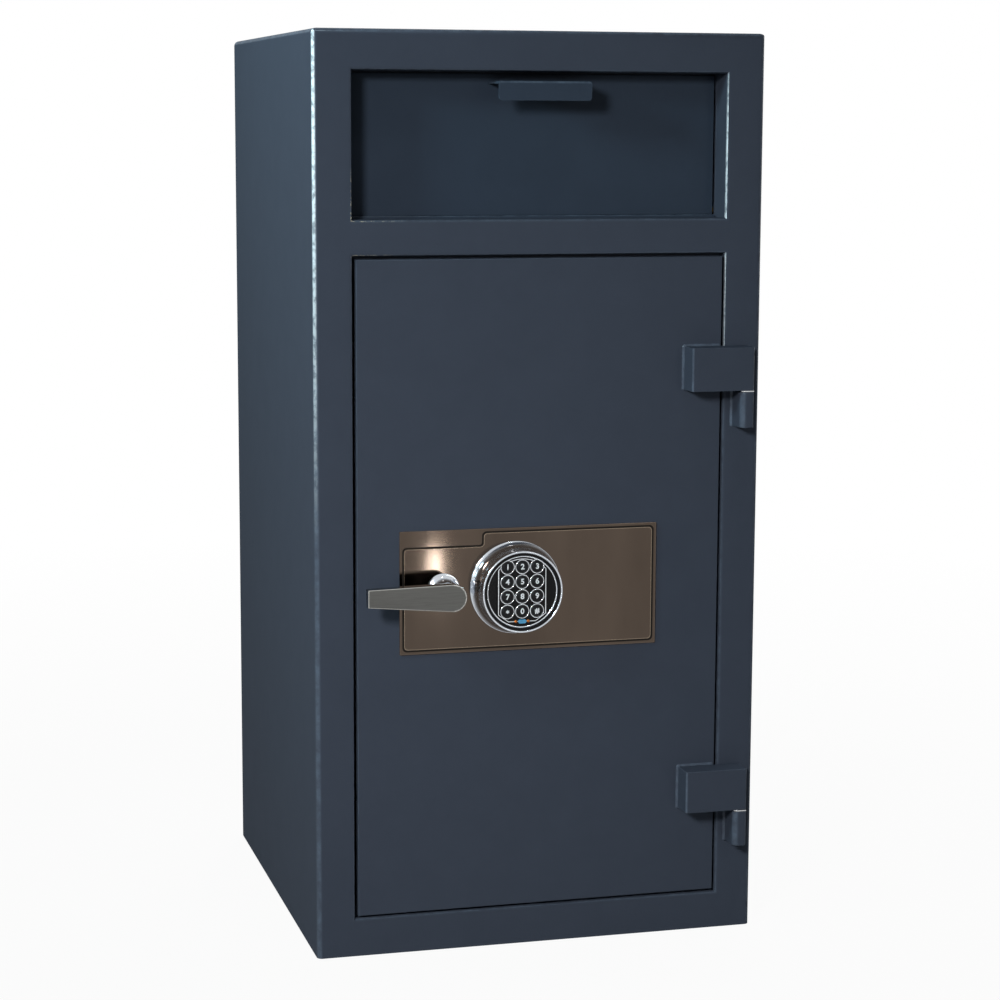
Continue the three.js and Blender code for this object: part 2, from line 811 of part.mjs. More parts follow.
// Centres of the twelve keys, row by row from the top left
function keyCentres() {
  const left = keypadX - ((keyColumns - 1) / 2) * keyPitchX;
  const top = keypadZ + keyGridLift + ((keyRows - 1) / 2) * keyPitchZ;
  return Array.from({ length: keyRows * keyColumns }, (_, i) => [
    left + (i % keyColumns) * keyPitchX,
    top - Math.floor(i / keyColumns) * keyPitchZ,
  ]);
}

// The black panel's outline: an arched top, straight sides and a tapered foot
function membraneOutline() {
  const half = membraneWidth / 2;
  const radius = dishInside - membraneInset;
  const shape = new THREE.Shape();
  const shoulder = Math.acos(half / radius);
  const footX = half - membraneTaper;
  const footZ = keypadZ - Math.sqrt(radius * radius - footX * footX);
  shape.moveTo(keypadX - footX, footZ);
  shape.lineTo(keypadX + footX, footZ);
  shape.lineTo(keypadX + half, keypadZ - membraneShoulder);
  shape.absarc(keypadX, keypadZ, radius, shoulder, Math.PI - shoulder);
  shape.lineTo(keypadX - half, keypadZ - membraneShoulder);
  return shape;
}

function buildKeypad() {
  const floorOut = seatOut + dishFloor;
  const dish = turned(
    [
      [0, seatOut],
      [dishFoot, seatOut],
      [dishFoot, seatOut + dishFloor / 2],
      [(dishFoot + dishRim) / 2 + dishFloor / 2, dishHeight / 2],
      [dishRim, dishHeight - rimWidth],
      [dishRim - rimWidth / 2, dishHeight],
      [dishInside + rimWidth / 3, dishHeight],
      [dishInside, dishHeight - rimWidth / 2],
      [dishInside, floorOut],
      [0, floorOut],
    ],
    "front",
    roundSides * 2,
  ).translate(keypadX, 0, keypadZ);
  const leadZ = keypadZ + cableLift;
  const lead = barY(cableHole / 2, frontY - floorOut - overrun, frontY, keypadX, leadZ);
  add("keypad_housing", cut(dish, lead), "chrome");

  const faceR = dishInside - fit;
  const faceY = frontY - faceOut;
  const disc = barY(faceR, faceY, faceY + faceThickness, keypadX, keypadZ, roundSides * 2);
  const membraneBackY = faceY + faceThickness / 2;
  const membrane = alongY(membraneOutline(), frontY - membraneOut, membraneBackY, 0, smallSides / 2);
  const bores = keyCentres().map(([x, z]) =>
    barY(keyDiameter / 2 + fit, frontY - membraneOut - overrun, faceY + faceThickness + overrun, x, z),
  );
  add("keypad_face", cut(join(disc, membrane), ...bores), "plastic");

  const keyOut = membraneOut + keyProud;
  const keyR = keyDiameter / 2;
  keyCentres().forEach(([x, z], i) => {
    const profile = [
      [0, keyOut - keyHeight],
      [keyR, keyOut - keyHeight],
      [keyR, keyOut - keyDome],
      [keyR - keyDome, keyOut],
      [0, keyOut],
    ];
    const number = String(i + 1).padStart(2, "0");
    add("key_" + number, turned(profile, "front", smallSides).translate(x, 0, z), "key");
  });

  const boardY = faceY + faceThickness + boardGap;
  const board = barY(faceR, boardY, boardY + boardThickness, keypadX, keypadZ, roundSides);
  add("keypad_board", board, "board");
  const cellY = frontY - floorOut - fit;
  const cellZ = keypadZ - batteryDrop;
  const cell = block(
    [keypadX - batteryWidth / 2, cellY - batteryDepth, cellZ - batteryHeight / 2],
    [keypadX + batteryWidth / 2, cellY, cellZ + batteryHeight / 2],
  );
  add("keypad_battery", cell, "brass");
  const lens = alongY(
    rounded(
      keypadX - lightWidth / 2,
      keypadZ - lightDrop - lightHeight / 2,
      keypadX + lightWidth / 2,
      keypadZ - lightDrop + lightHeight / 2,
      lightHeight / 2 - fit,
    ),
    frontY - membraneOut - lightDepth,
    frontY - membraneOut,
  );
  add("status_light", lens, "lens");
  const cableY = boardY + boardThickness + fit;
  const cable = barY(cableDiameter / 2, cableY, lockFrontY - fit, keypadX, leadZ, smallSides / 2);
  add("lock_cable", cable, "plastic");
}

// A sheet of even thickness bent along a line of [y, z] points
function bentSheet(points, thickness) {
  const line = points.map(([y, z]) => new THREE.Vector2(y, z));
  const side = (offset) =>
    line.map((point, i) => {
      const before = i ? point.clone().sub(line[i - 1]).normalize() : null;
      const after = i < line.length - 1 ? line[i + 1].clone().sub(point).normalize() : null;
      const along = (before || after).clone().add(after || before).normalize();
      const normal = new THREE.Vector2(-along.y, along.x);
      const edge = before || after;
      const stretch = 1 / Math.abs(normal.dot(new THREE.Vector2(-edge.y, edge.x)));
      return point.clone().addScaledVector(normal, offset * stretch);
    });
  return new THREE.Shape([...side(thickness / 2), ...side(-thickness / 2).reverse()]);
}

// The hopper: panel and pull in front, a sloping tray and two cheeks with welded pivots behind
function buildHopper() {
  const panel = alongY(
    rounded(-panelX, recessBottom + panelBottomGap, panelX, recessTop - panelTopGap, 0),
    panelFrontY,
    panelBackY,
    panelEdge,
  );
  add("hopper_panel", panel, "recess");

  const topZ = recessTop - pullBelowTop;
  const lipFront = frontY - pullProud;
  const half = pullWidth / 2;
  const section = new THREE.Shape();
  section.moveTo(lipFront, topZ - pullLip);
  section.lineTo(lipFront + pullThickness, topZ - pullLip);
  section.lineTo(lipFront + pullThickness, topZ - pullThickness);
  section.lineTo(panelFrontY, topZ - pullThickness);
  section.lineTo(panelFrontY, topZ);
  section.lineTo(lipFront + pullThickness, topZ);
  section.absarc(lipFront + pullThickness, topZ - pullThickness, pullThickness, Math.PI / 2, Math.PI);
  const corners = rounded(-half, topZ - pullLip, half, topZ, pullCorner);
  const face = alongY(corners, lipFront - overrun, panelFrontY);
  add("hopper_pull", common(alongX(section, -half, half), face), "recess");

  const flangeY = panelBackY + fit + trayThickness / 2;
  const slope = radians(traySlopeAngle);
  const trayLength = cheekRadius - trayShort;
  const trayX = cheekInnerX - fit;
  const trayLine = [
    [flangeY, pivotZ + trayFlange],
    [flangeY, pivotZ],
    [flangeY + trayLength * Math.cos(slope), pivotZ - trayLength * Math.sin(slope)],
  ];
  add("hopper_tray", alongX(bentSheet(trayLine, trayThickness), -trayX, trayX), "recess");

  for (const [name, side] of bothSides) {
    const [near, far] = [cheekInnerX * side, cheekOuterX * side].sort((a, b) => a - b);
    const plate = alongX(cheekOutline(), near, far);
    const collarEnd = openingX - pivotCollarGap;
    const stubEnd = openingX + chuteWall + bushingFlangeThickness + pivotEnd;
    const bars = [
      [pivotCollar / 2, collarEnd],
      [pivotDiameter / 2, stubEnd],
    ].map(([radius, end]) => {
      const [x0, x1] = [(cheekOuterX - cheekThickness / 2) * side, end * side].sort((a, b) => a - b);
      return barX(radius, x0, x1, pivotY, pivotZ);
    });
    add("hopper_cheek_" + name, join(plate, ...bars), "recess");
  }
}

// A cheek closes the hopper's side: a sector about the pivot, with a lug that stops the tilt
function cheekOutline() {
  const frontEdge = panelBackY + fit;
  const top = Math.acos((frontEdge - pivotY) / cheekRadius);
  const lipBack = frontEdge + recessLipThickness + 2 * fit;
  const lugLead = Math.acos((lipBack - pivotY) / (cheekRadius + stopLugReach)) - radians(hopperTiltAngle);
  const lugEnd = lugLead - radians(stopLugAngle);
  const low = -radians(traySlopeAngle) - Math.asin(2 * trayThickness / cheekRadius);
  const reach = cheekRadius + stopLugReach;
  const shape = new THREE.Shape();
  shape.moveTo(frontEdge, pivotZ - pivotBoss);
  shape.lineTo(frontEdge, pivotZ + cheekRadius * Math.sin(top));
  shape.absarc(pivotY, pivotZ, cheekRadius, top, lugLead, true);
  shape.absarc(pivotY, pivotZ, reach, lugLead, lugEnd, true);
  shape.absarc(pivotY, pivotZ, cheekRadius, lugEnd, low, true);
  shape.lineTo(pivotY, pivotZ - pivotBoss);
  return shape;
}

// What the hopper swings in: the recess liner with its stop lip, the chute sides and the baffle
function buildChute() {
  const ring = rounded(
    -openingX - recessWall,
    recessBottom - recessWall,
    openingX + recessWall,
    recessTop + recessWall,
    0,
  );
  ring.holes.push(rounded(-openingX, recessBottom, openingX, recessTop, 0));
  const lipX = openingX - fit;
  const lipFront = panelBackY + fit;
  const roof = block(
    [-lipX, recessBackY - overrun, recessTop],
    [lipX, lipFront + recessLipThickness, recessTop + recessWall],
  );
  const lip = block(
    [-lipX, lipFront, recessTop - recessLip],
    [lipX, lipFront + recessLipThickness, recessTop + recessWall],
  );
  add("recess_frame", join(alongY(ring, frameBackY, recessBackY), roof, lip), "recess");

  const bushInner = pivotDiameter / 2 + fit;
  const bushOuter = bushInner + bushingWall;
  for (const [name, side] of bothSides) {
    const [x0, x1] = [openingX * side, (openingX + chuteWall) * side].sort((a, b) => a - b);
    const plate = block([x0, recessBackY + fit, pivotZ - chuteDrop], [x1, chuteBackY, ceiling - fit]);
    const bore = barX(bushOuter + fit, x0 - overrun, x1 + overrun, pivotY, pivotZ, roundSides);
    add("chute_side_" + name, cut(plate, bore), "paint");
    const flangeStart = openingX + chuteWall + fit;
    const flangeEnd = flangeStart + bushingFlangeThickness;
    const profile = [
      [bushInner, side * openingX],
      [bushOuter, side * openingX],
      [bushOuter, side * flangeStart],
      [bushingFlange, side * flangeStart],
      [bushingFlange, side * flangeEnd],
      [bushInner, side * flangeEnd],
    ];
    add("hopper_bushing_" + name, turned(profile, "x").translate(0, pivotY, pivotZ), "brass");
  }

  const baffleX = openingX - fit;
  const baffleBottom = recessBottom + baffleRise;
  const teeth = Math.floor((2 * baffleX) / toothPitch);
  const firstTooth = -(teeth * toothPitch) / 2;
  const points = [[-baffleX, baffleBottom]];
  for (let i = 0; i < teeth; i++) {
    points.push([firstTooth + i * toothPitch, baffleBottom]);
    points.push([firstTooth + (i + 1 / 2) * toothPitch, baffleBottom - toothHeight]);
  }
  points.push([firstTooth + teeth * toothPitch, baffleBottom]);
  points.push([baffleX, baffleBottom], [baffleX, ceiling - fit], [-baffleX, ceiling - fit]);
  const sheet = alongY(outline(points), baffleY, baffleY + baffleThickness);
  const flange = block(
    [-baffleX, baffleY, ceiling - fit - baffleThickness],
    [baffleX, baffleY + baffleFlange, ceiling - fit],
  );
  add("anti_fish_baffle", join(sheet, flange), "steel");
}

buildBody();
buildJamb();
buildDoorPlate();
buildHinge("upper", doorTop - hingeBelowTop);
buildHinge("lower", doorBottom + hingeAboveSill);
buildDeadBar();
buildEscutcheon();
buildHandle();
buildCam();
buildBoltwork();
buildLock();
buildCover();
buildKeypad();
buildHopper();
buildChute();

export default safe;
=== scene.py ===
"""Drop safe with a tilting deposit hopper: finishes, small fittings, studio and camera round the CAD frame.

Everything is in metres in the frame's own axes: the front faces -Y, +Z is up, and +X is right as seen
from the front.
"""

import math

import bmesh
import bpy
from mathutils import Matrix, Vector, noise


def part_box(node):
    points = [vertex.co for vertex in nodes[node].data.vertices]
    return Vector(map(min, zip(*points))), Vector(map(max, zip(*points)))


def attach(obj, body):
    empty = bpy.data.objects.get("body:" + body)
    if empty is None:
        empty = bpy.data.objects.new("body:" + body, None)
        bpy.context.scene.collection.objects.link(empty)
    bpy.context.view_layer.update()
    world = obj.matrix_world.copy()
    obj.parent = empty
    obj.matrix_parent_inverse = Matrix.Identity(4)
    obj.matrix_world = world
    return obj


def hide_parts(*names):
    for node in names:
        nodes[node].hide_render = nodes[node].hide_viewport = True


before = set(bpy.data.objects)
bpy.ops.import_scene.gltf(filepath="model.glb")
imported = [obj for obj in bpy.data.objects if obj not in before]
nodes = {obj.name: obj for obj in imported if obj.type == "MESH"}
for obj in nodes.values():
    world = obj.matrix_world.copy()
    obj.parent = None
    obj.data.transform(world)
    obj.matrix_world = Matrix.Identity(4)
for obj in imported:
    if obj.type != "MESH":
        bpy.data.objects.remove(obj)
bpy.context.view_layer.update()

MM = 0.001
WHITE = (1.0, 1.0, 1.0, 1.0)
DIGITS = "123456789*0#"

# How finely meshes are made and joined
FINE_SIDES = 96
NECK_SIDES = 64
RING_SIDES = 40
SMALL_SIDES = 24
MERGE_DISTANCE = 0.01 * MM
BEAD_MERGE_DISTANCE = 0.005 * MM
SHARP_ANGLE = math.radians(40)
FLAT_ANGLE = math.radians(0.5)
EASED_EDGE = 0.3 * MM
LEAST_MITRE = 0.5

# Sizes of the added fittings
BORDER_INSET = 4.0 * MM
BORDER_WIDTH = 2.2 * MM
# Width of the lighter strip that paints the highlight on the border groove's lit edge
BORDER_PAINTED_GLINT = 0.5 * MM
BORDER_CORNER = 4.0 * MM
BORDER_PROUD = 0.06 * MM
LINE_BURIED = 0.4 * MM
NOTCH_WIDTH = 94.0 * MM
NOTCH_DROP = 14.9 * MM
DISH_FOOT_ROLL = 1.6 * MM
DISH_SHELL = 5.0 * MM
DISH_FLARE = 5.0
DISH_WELL_DEPTH = 3.0 * MM
DISH_CLEAR = 0.3 * MM
RIM_RING = 2.2 * MM
BAND_DEPTH = 1.1 * MM
FACE_RING = 1.7 * MM
FACE_RING_HEIGHT = 1.0 * MM
KEY_RING = 1.05 * MM
KEY_RING_GAP = 0.45 * MM
KEY_RING_PROUD = 0.9 * MM
RING_ROOT = 0.4 * MM
DIGIT_SIZE = 8.4 * MM
DIGIT_WEIGHT = 0.25 * MM
STAR_DROP = 1.5 * MM
LINE_PROUD = 0.12 * MM
MEMBRANE_LINE = 0.7 * MM
MEMBRANE_HALF_WIDTH = 26.8 * MM
MEMBRANE_RADIUS = 36.4 * MM
MEMBRANE_FOOT = 15.4 * MM
MEMBRANE_BEND = 25.0 * MM
CONTACT_RADIUS = 1.7 * MM
CONTACT_GAP = 2.6 * MM
NECK_BORE = 5.3 * MM
NECK_FLARE = 18.0 * MM
NECK_HEAD = 2.0 * MM
WELD_SIZE = 2.2 * MM
WELD_STEP = 1.4 * MM
WELD_RIPPLE = 0.45 * MM
WELD_ROOT = 0.5 * MM
LEAF_WELD_STOP = 2.2 * MM
SILL_SLOT = 2.5 * MM
SILL_AHEAD = 4.4 * MM
SILL_WIDTH = 2.0 * MM
SILL_HEIGHT = 2.8 * MM
SILL_ROOT = 1.0 * MM
SHIM_INSET = 0.3 * MM
SHIM_CORNER = 6.7 * MM
SHIM_EDGE = 0.3 * MM
SCREW_RADIUS = 4.5 * MM
SCREW_HEIGHT = 2.4 * MM
SCREW_SOCKET = 1.2 * MM
SCREW_ROOT = 0.06 * MM
SCREW_INSET = 14.0 * MM
SCREW_ROWS = 3

# The paint's gloss and wear, and how far the painted highlight on its left-facing edges reaches
COAT_ON_FACES = 0.04
COAT_ON_LEFT_EDGES = 0.20
COAT_ON_EDGES = 0.12
COAT_ROUGHNESS = 0.24
HIGHLIGHT_REACH = 550.0 * MM
SMALL_HIGHLIGHT_REACH = 160.0 * MM
CHIP_REACH = 60.0 * MM

# Studio
SOFT_LIGHT = (0.10, 0.104, 0.108, 1.0)
FLOOR_SIZE = 60.0
FLOOR_NEAR = 0.8
FLOOR_FAR = 2.6
FLOOR_WHITE_SHARE = 0.95


def srgb(code):
    """A colour written as RRGGBB, as the linear value that shaders take."""
    parts = [int(code[i:i + 2], 16) / 255 for i in (0, 2, 4)]
    linear = [p / 12.92 if p <= 0.04045 else ((p + 0.055) / 1.055) ** 2.4 for p in parts]
    return (*linear, 1.0)


def tint(colour, share):
    """A colour made darker or lighter by the share, with no part over 1."""
    return (*(min(1.0, share * part) for part in colour[:3]), 1.0)


class Shader:
    """The node tree of a new material or of the world, with short calls that add nodes and links."""

    def __init__(self, name, owner=None):
        self.material = owner or bpy.data.materials.new(name)
        self.material.use_nodes = True
        self.tree = self.material.node_tree
        self.surface = self.tree.nodes.get("Principled BSDF")

    def add(self, kind, settings=None, **inputs):
        """Adds a node. An input that is a socket is linked, any other value is set."""
        made = self.tree.nodes.new(kind)
        for key, value in (settings or {}).items():
            setattr(made, key, value)
        for key, value in inputs.items():
            self.feed(made, key.replace("_", " "), value)
        return made

    def feed(self, target, name, value):
        """Links a socket to, or sets a value on, the input that has the name or the number."""
        socket = target.inputs[int(name)] if name.isdigit() else target.inputs[name]
        if isinstance(value, bpy.types.NodeSocket):
            self.tree.links.new(value, socket)
        else:
            socket.default_value = value

    def set(self, **inputs):
        """Sets or links the surface shader's own sockets."""
        for key, value in inputs.items():
            self.feed(self.surface, key.replace("_", " "), value)

    def place(self, stretch=(1.0, 1.0, 1.0)):
        """The piece's own coordinates, stretched along its axes."""
        coordinates = self.add("ShaderNodeTexCoord").outputs["Object"]
        return self.add("ShaderNodeMapping", Vector=coordinates, Scale=stretch).outputs["Vector"]

    def grain(self, scale, detail=2.0, roughness=0.5, stretch=(1.0, 1.0, 1.0)):
        """Noise in the piece's own coordinates, from 0 to 1."""
        where = self.place(stretch)
        made = self.add("ShaderNodeTexNoise", Vector=where, Scale=scale, Detail=detail, Roughness=roughness)
        return made.outputs["Fac"]

    def span(self, value, low, high, start=0.0, end=1.0):
        """Maps low..high of a value to start..end, held at both ends."""
        made = self.add("ShaderNodeMapRange", {"clamp": True}, Value=value)
        for name, number in (("From Min", low), ("From Max", high), ("To Min", start), ("To Max", end)):
            made.inputs[name].default_value = number
        return made.outputs["Result"]

    def calc(self, operation, a, b):
        """Two values put through a Math node's operation."""
        made = self.add("ShaderNodeMath", {"operation": operation})
        self.feed(made, "0", a)
        self.feed(made, "1", b)
        return made.outputs["Value"]

    def blend(self, share, a, b):
        """Colour a turning to colour b with the share.

        The node's colours are its inputs 6 and 7 and its output 2.
        """
        made = self.add("ShaderNodeMix", {"data_type": "RGBA"})
        self.feed(made, "0", share)
        self.feed(made, "6", a)
        self.feed(made, "7", b)
        return made.outputs[2]

    def bump(self, height, strength, distance):
        """The surface's direction, roughened by a height."""
        made = self.add("ShaderNodeBump", Height=height, Strength=strength, Distance=distance)
        return made.outputs["Normal"]

    def edges(self, radius, low, high):
        """1 on edges that are sharper than the radius, 0 on flat faces."""
        soft = self.add("ShaderNodeBevel", {"samples": 6}, Radius=radius).outputs["Normal"]
        plain = self.add("ShaderNodeNewGeometry").outputs["Normal"]
        dot = self.add("ShaderNodeVectorMath", {"operation": "DOT_PRODUCT"})
        self.feed(dot, "0", soft)
        self.feed(dot, "1", plain)
        return self.span(dot.outputs["Value"], 1 - low, 1 - high)

    def own_normal(self):
        """The parts of the surface's direction in the piece's own axes."""
        normal = self.add("ShaderNodeTexCoord").outputs["Normal"]
        return self.add("ShaderNodeSeparateXYZ", Vector=normal).outputs

    def rounded(self):
        """1 where the surface turns away from all the piece's own axes, as on its rounded edges."""
        parts = self.own_normal()
        sizes = [self.calc("ABSOLUTE", parts[axis], 0.0) for axis in "XYZ"]
        most = self.calc("MAXIMUM", self.calc("MAXIMUM", sizes[0], sizes[1]), sizes[2])
        return self.span(most, 0.995, 0.93)

    def nearness(self, spot, reach):
        """1 at a spot of the piece's own coordinates, 0 beyond the reach."""
        away = self.add("ShaderNodeVectorMath", {"operation": "DISTANCE"})
        self.feed(away, "0", self.add("ShaderNodeTexCoord").outputs["Object"])
        self.feed(away, "1", spot)
        return self.span(away.outputs["Value"], reach, 0.2 * reach)


# Finishes

def powder_coat(name, colour, highlight_spots=(), chipped=None):
    """Semi-gloss powder coat: orange peel, faint mottling, and glossier, slightly paler edges.

    The gloss is a coat layer, thin on the flat faces, so that they stay dark at low angles as the paint
    does. highlight_spots gives the spots and reaches near which rounded edges that face left get a painted
    highlight, a pale wavering colour in place of the light they would catch.
    chipped gives a spot and a reach near which the primer shows through chips.
    """
    s = Shader(name)
    tone = s.blend(s.span(s.grain(30.0, 5.0, 0.6), 0.3, 0.7), tint(colour, 0.97), tint(colour, 1.03))
    corner = s.rounded()
    left = s.span(s.own_normal()["X"], -0.25, -0.6)
    edge = s.calc("MAXIMUM", corner, s.edges(1.2 * MM, 0.03, 0.2))
    patchy = s.span(s.grain(70.0, 5.0, 0.7), 0.35, 0.65, 0.02, 0.22)
    tone = s.blend(s.calc("MULTIPLY", edge, patchy), tone, RUBBED)
    # Painted highlight: near the spots, rounded edges that face left, towards the lamps, turn a pale
    # wavering colour
    if highlight_spots:
        near = 0.0
        for spot, reach in highlight_spots:
            near = s.calc("MAXIMUM", near, s.nearness(spot, reach))
        wavering = s.span(s.grain(130.0, 3.0, 0.6), 0.38, 0.55, 0.3, 0.9)
        share = s.calc("MULTIPLY", s.calc("MULTIPLY", corner, left), s.calc("MULTIPLY", near, wavering))
        tone = s.blend(share, tone, PAINTED_HIGHLIGHT)
    if chipped:
        flakes = s.span(s.grain(190.0, 6.0, 0.75), 0.50, 0.54)
        near = s.calc("MULTIPLY", s.nearness(*chipped), flakes)
        tone = s.blend(s.calc("MULTIPLY", near, s.edges(2.6 * MM, 0.01, 0.08)), tone, PRIMER)
    peel = s.calc("ADD", s.grain(420.0, 2.0), s.calc("MULTIPLY", s.grain(1700.0, 1.0), 0.3))
    wavy = s.bump(peel, 0.3, 0.35 * MM)
    glossy = s.span(edge, 0.0, 1.0, COAT_ON_FACES, COAT_ON_EDGES)
    shiny = s.calc("MULTIPLY", edge, left)
    s.set(
        Base_Color=tone,
        Roughness=s.span(s.grain(240.0, 3.0), 0.3, 0.7, 0.40, 0.52),
        Normal=wavy,
        Coat_Weight=s.calc("MAXIMUM", glossy, s.span(shiny, 0.0, 1.0, 0.0, COAT_ON_LEFT_EDGES)),
        Coat_Roughness=COAT_ROUGHNESS,
        Coat_Normal=wavy,
        Specular_IOR_Level=0.0,
    )
    return s.material


def polished_plate(name, colour):
    """Warm mirror steel with faint lines, wiping marks and a painted highlight on its eased edges. What it
    mirrors smears upright.
    """
    s = Shader(name)
    streaks = s.grain(46.0, 3.0, 0.6, (1.0, 1.0, 0.12))
    wiped = s.span(s.grain(11.0, 4.0, 0.6, (1.0, 1.0, 0.3)), 0.3, 0.7)
    body = s.blend(wiped, tint(colour, 0.88), tint(colour, 1.18))
    s.set(
        # Painted highlight: the plate's eased edges are coloured much lighter than its faces
        Base_Color=s.blend(s.edges(1.5 * MM, 0.02, 0.2), body, tint(colour, 2.2)),
        Metallic=1.0,
        Roughness=s.span(streaks, 0.3, 0.7, 0.06, 0.10),
        Anisotropic=0.65,
        Tangent=s.add("ShaderNodeCombineXYZ", Z=1.0).outputs["Vector"],
        Normal=s.bump(streaks, 0.02, 0.4 * MM),
    )
    return s.material


def bright_metal(name, colour, low, high):
    """Chrome or bright plating with a trace of handling haze."""
    s = Shader(name)
    haze = s.span(s.grain(55.0, 5.0, 0.65), 0.35, 0.7, low, high)
    s.set(Base_Color=colour, Metallic=1.0, Roughness=haze)
    return s.material


def satin_metal(name, colour, rough=0.36):
    """Plated, cast or turned metal: blotchy tone, fine grain and rubbed edges."""
    s = Shader(name)
    blotch = s.span(s.grain(38.0, 5.0, 0.6), 0.3, 0.7)
    fine = s.grain(520.0)
    body = s.blend(blotch, tint(colour, 0.72), colour)
    s.set(
        Base_Color=s.blend(s.edges(0.8 * MM, 0.02, 0.3), body, tint(colour, 1.35)),
        Metallic=1.0,
        Roughness=s.span(fine, 0.3, 0.7, rough - 0.07, rough + 0.08),
        Normal=s.bump(fine, 0.12, 0.08 * MM),
    )
    return s.material


def brushed_lever(name, colour):
    """Flat faces brushed along the lever, eased edges polished bright and lightened further into a painted
    highlight.
    """
    s = Shader(name)
    lines = s.grain(2600.0, 3.0, 0.6, (0.02, 1.0, 1.0))
    upright = s.span(s.calc("ABSOLUTE", s.own_normal()["Y"], 0.0), 0.93, 0.995)
    flat = s.calc("MULTIPLY", upright, s.span(s.edges(1.9 * MM, 0.01, 0.10), 0.0, 1.0, 1.0, 0.0))
    body = s.blend(s.span(lines, 0.3, 0.7), tint(colour, 0.86), tint(colour, 1.16))
    s.set(
        # Polished edges, made lighter still as a painted outline highlight
        Base_Color=s.blend(flat, tint(colour, 5.2), body),
        Metallic=1.0,
        Roughness=s.calc("ADD", s.calc("MULTIPLY", flat, s.span(lines, 0.3, 0.7, 0.16, 0.26)), 0.14),
        Anisotropic=0.45,
        Normal=s.bump(lines, 0.12, 0.04 * MM),
    )
    return s.material


def moulded(name, colour, low=0.28, high=0.42, grain=850.0, strength=0.1, shine=0.5):
    """Moulded plastic or rubber: a fine even grain and a slightly uneven sheen."""
    s = Shader(name)
    texture = s.grain(grain, 2.0)
    s.set(
        Base_Color=s.blend(s.span(s.grain(40.0, 3.0), 0.3, 0.7), tint(colour, 0.8), colour),
        Roughness=s.span(texture, 0.3, 0.7, low, high),
        Normal=s.bump(texture, strength, 0.1 * MM),
        Specular_IOR_Level=shine,
    )
    return s.material


def lens(name, colour, strength):
    """A lit lens of slightly uneven colour."""
    s = Shader(name)
    uneven = s.span(s.grain(420.0, 1.0), 0.3, 0.7)
    s.set(
        Base_Color=s.blend(uneven, colour, tint(colour, 1.3)),
        Roughness=0.12,
        Emission_Color=colour,
        Emission_Strength=strength,
    )
    return s.material


# Where the pieces are that the finishes and the fittings follow
front_low, front_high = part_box("front_frame")
panel_low, panel_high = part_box("hopper_panel")
door_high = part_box("door_plate")[1]

# Colours and materials
PAINT = srgb("373D48")
# Darker than PAINT as painted shade: the hopper panel sits deep in its recess
SHADED_RECESS_PAINT = srgb("2D3642")
RUBBED = srgb("708294")
# The pale colour painted on left-facing rounded edges as a highlight
PAINTED_HIGHLIGHT = srgb("DCE8EE")
PRIMER = srgb("B9B29C")
# Spots near which the frame's left-facing rounded edges carry the painted highlight
frame_highlight_spots = [
    ((front_low.x, front_low.y, front_high.z), HIGHLIGHT_REACH),
    ((panel_high.x, front_low.y, (panel_low.z + panel_high.z) / 2), SMALL_HIGHLIGHT_REACH),
    ((door_high.x, front_low.y, door_high.z), SMALL_HIGHLIGHT_REACH),
]
chip_spot = (panel_low.x, front_low.y, panel_low.z)
coat = powder_coat("coat", PAINT)
frame_coat = powder_coat("frame_coat", PAINT, frame_highlight_spots, (chip_spot, CHIP_REACH))
# The darker paint that stands for the recess's shade, on the hopper pieces and the sill
shaded_recess_coat = powder_coat("shaded_recess_coat", SHADED_RECESS_PAINT)
plate_steel = polished_plate("plate_steel", srgb("50463E"))
# A lighter metal that paints the highlight on the border groove's lit edge
painted_glint_metal = bright_metal("painted_glint_metal", srgb("8A7C6C"), 0.2, 0.3)
etched = moulded("etched_line", srgb("15110E"), 0.4, 0.6, shine=0.1)
chrome = bright_metal("chrome", srgb("C4C9D0"), 0.10, 0.17)
bright_chrome = bright_metal("bright_chrome", srgb("D2D6DB"), 0.08, 0.16)
plating = bright_metal("plating", srgb("B4B6B8"), 0.12, 0.24)
lever_steel = brushed_lever("lever_steel", srgb("575755"))
zinc = satin_metal("zinc", srgb("8E9192"))
cast_zinc = satin_metal("cast_zinc", srgb("A3A4A2"), 0.42)
dark_scale = satin_metal("dark_scale", srgb("45484C"), 0.5)
brass = satin_metal("brass", srgb("A98748"), 0.3)
black_gloss = moulded("black_gloss", srgb("08090B"), 0.10, 0.18, 500.0, 0.03, 0.12)
key_plastic = moulded("key_plastic", srgb("0D0E11"), 0.3, 0.45, shine=0.15)
print_white = moulded("print_white", srgb("D8DCE0"), 0.35, 0.5)
board_green = moulded("board_green", srgb("1F5A35"), 0.3, 0.5, 300.0)
sleeve = moulded("sleeve", srgb("34343A"), 0.2, 0.3)
cable_black = moulded("cable_black", srgb("131315"), 0.5, 0.65)
blue_lens = lens("blue_lens", srgb("35789C"), 0.05)
copper = satin_metal("copper", srgb("A8602C"), 0.32)

finish_of_node = {
    "front_frame": frame_coat,
    "escutcheon_plate": plate_steel,
    "lever_handle": lever_steel,
    "keypad_face": black_gloss,
    "keypad_board": board_green,
    "keypad_battery": sleeve,
    "status_light": blue_lens,
    "lock_cable": cable_black,
    "lock_body": cast_zinc,
    "hard_plate": dark_scale,
    "lock_bolt": brass,
    "spindle_bush": brass,
    "hopper_bushing_left": brass,
    "hopper_bushing_right": brass,
}
painted_starts = (
    "body_", "back_", "floor_", "door_", "recess_", "hinge_leaf", "hinge_knuckle", "chute_", "boltwork_",
)


def finish_for(name):
    """The material of a CAD piece."""
    if name in finish_of_node:
        return finish_of_node[name]
    if name.startswith("key_"):
        return key_plastic
    # Painted shade: the hopper's pieces take the darker recess paint
    if name.startswith("hopper_"):
        return shaded_recess_coat
    if name.startswith(("hinge_washer", "locking_bolt")):
        return plating
    return coat if name.startswith(painted_starts) else zinc


# Softened edges on the CAD solids

